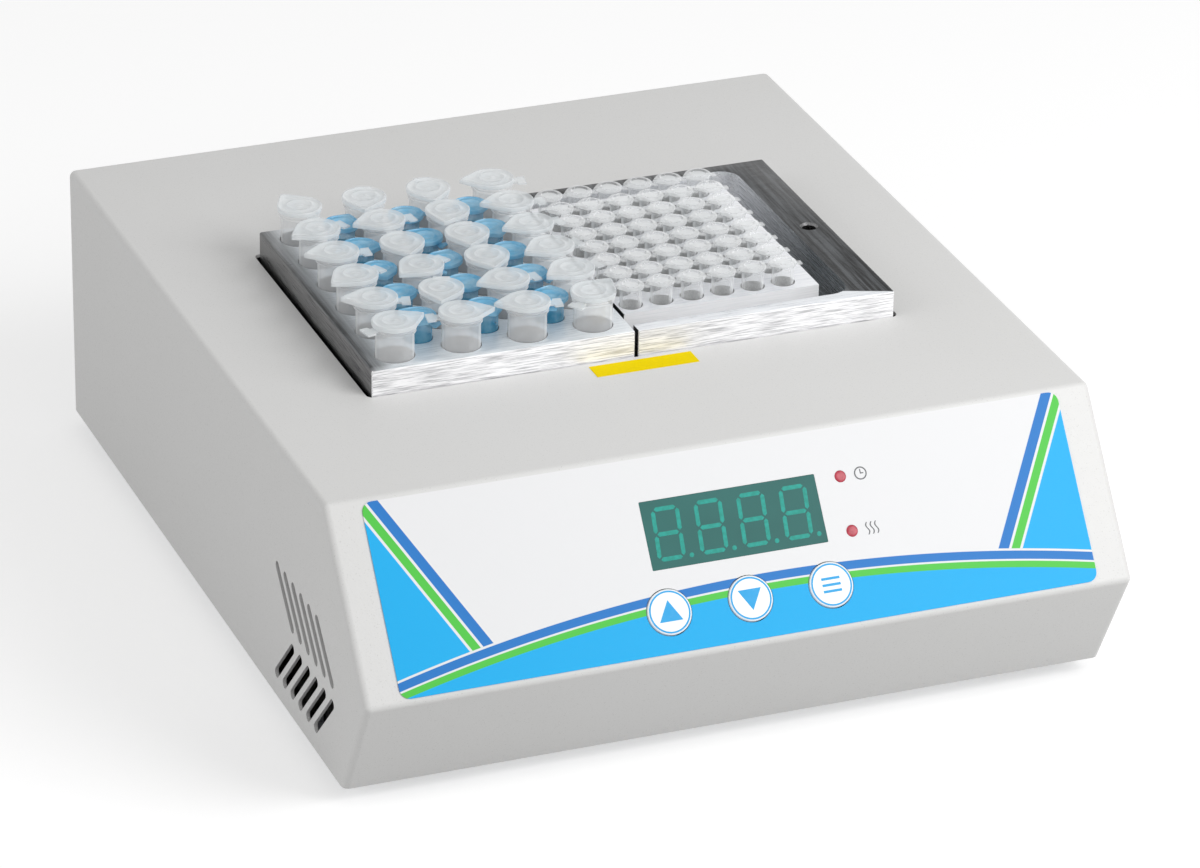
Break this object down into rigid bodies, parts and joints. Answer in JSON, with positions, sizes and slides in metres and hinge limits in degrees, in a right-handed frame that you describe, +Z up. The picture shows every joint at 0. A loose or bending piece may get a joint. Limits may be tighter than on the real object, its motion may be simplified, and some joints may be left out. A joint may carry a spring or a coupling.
{
  "type": "dry bath incubator",
  "caption": "Bench dry bath with a low sheet-metal cabinet, a sloping control panel and two lift-out aluminium heating blocks holding lidded sample tubes.",
  "frame": {"origin": "on the bench, under the middle of the whole outline", "axes": "+Z up, the control panel faces -Y, +X to the right seen from the front"},
  "size_m": [0.218, 0.2642, 0.0994],
  "materials": {
    "coated_steel": "fine texture",
    "zinc_steel": "satin",
    "black_rubber": "matte",
    "screw_steel": "satin",
    "black_steel": "matte",
    "glass_wool": "matte",
    "bare_aluminium": "satin",
    "silicone": "matte",
    "bright_steel": "bright",
    "brass_metal": "satin",
    "printed_film": "satin",
    "window_film": "gloss",
    "green_board": "satin",
    "display_black": "matte",
    "lamp_red": "gloss",
    "dark_plastic": "satin",
    "core_steel": "matte",
    "relay_blue": "gloss",
    "can_black": "gloss",
    "terminal_green": "satin",
    "grey_cable": "satin",
    "yellow_film": "satin",
    "brushed_block": "brushed",
    "clear_tube": "gloss",
    "blue_tube": "gloss",
    "key_white": "satin",
    "black_rocker": "gloss",
    "fuse_glass": "gloss"
  },
  "bodies": {
    "cabinet": {"top_cover": "coated_steel", "base_plate": "zinc_steel", "rubber_feet": "black_rubber", "base_screws": "screw_steel", "well_liner": "black_steel", "insulation_jacket": "glass_wool", "insulation_pad": "glass_wool", "heater_plate": "bare_aluminium", "heating_mat": "silicone", "temperature_probe": "bright_steel", "thermal_cutout": "bright_steel", "heater_posts": "brass_metal", "panel_label": "printed_film", "display_window": "window_film", "control_board": "green_board", "display_module": "display_black", "status_lamps": "lamp_red", "key_switches": "dark_plastic", "board_standoffs": "brass_metal", "board_screws": "screw_steel", "inlet_socket": "dark_plastic", "contact_blades": "bright_steel", "inlet_screws": "screw_steel", "inlet_nuts": "screw_steel", "switch_frame": "dark_plastic", "power_board": "green_board", "power_standoffs": "brass_metal", "power_screws": "screw_steel", "transformer": "core_steel", "heater_relay": "relay_blue", "heat_sink": "bare_aluminium", "heater_triac": "dark_plastic", "capacitors": "can_black", "terminal_block": "terminal_green", "ribbon_cable": "grey_cable", "mains_leads": "grey_cable", "earth_stud": "brass_metal", "yellow_strip": "yellow_film"},
    "tube_block": {"tube_block": "brushed_block"},
    "plate_block": {"plate_block": "brushed_block"},
    "standing_tubes": {"large_tubes": "clear_tube", "small_tubes": "blue_tube"},
    "plate_tubes": {"plate_tubes": "clear_tube"},
    "down_key_cap": {"down_key": "key_white"},
    "mode_key_cap": {"mode_key": "key_white"},
    "up_key_cap": {"up_key": "key_white"},
    "rocker": {"switch_rocker": "black_rocker"},
    "drawer": {"fuse_drawer": "dark_plastic", "glass_fuses": "fuse_glass"}
  },
  "joints": [
    {"name": "tube_block_lift", "type": "slide", "parent": "cabinet", "child": "tube_block", "axis": [0, 0, 1], "range_m": [0, 0.06]},
    {"name": "plate_block_lift", "type": "slide", "parent": "cabinet", "child": "plate_block", "axis": [0, 0, 1], "range_m": [0, 0.06]},
    {"name": "tube_lift", "type": "slide", "parent": "tube_block", "child": "standing_tubes", "axis": [0, 0, 1], "range_m": [0, 0.035]},
    {"name": "plate_tube_lift", "type": "slide", "parent": "plate_block", "child": "plate_tubes", "axis": [0, 0, 1], "range_m": [0, 0.022]},
    {"name": "power_rocker", "type": "hinge", "parent": "cabinet", "child": "rocker", "pos_m": [-0.024, 0.12751, 0.041], "axis": [1, 0, 0], "range_deg": [0, 18]},
    {"name": "fuse_drawer_slide", "type": "slide", "parent": "cabinet", "child": "drawer", "axis": [0, 1, 0], "range_m": [0, 0.02]},
    {"name": "down_key_press", "type": "slide", "parent": "cabinet", "child": "down_key_cap", "axis": [0, 0.8, -0.6], "range_m": [0, 0.0006], "stiffness_N_per_m": 800},
    {"name": "mode_key_press", "type": "slide", "parent": "cabinet", "child": "mode_key_cap", "axis": [0, 0.8, -0.6], "range_m": [0, 0.0006], "stiffness_N_per_m": 800},
    {"name": "up_key_press", "type": "slide", "parent": "cabinet", "child": "up_key_cap", "axis": [0, 0.8, -0.6], "range_m": [0, 0.0006], "stiffness_N_per_m": 800}
  ]
}
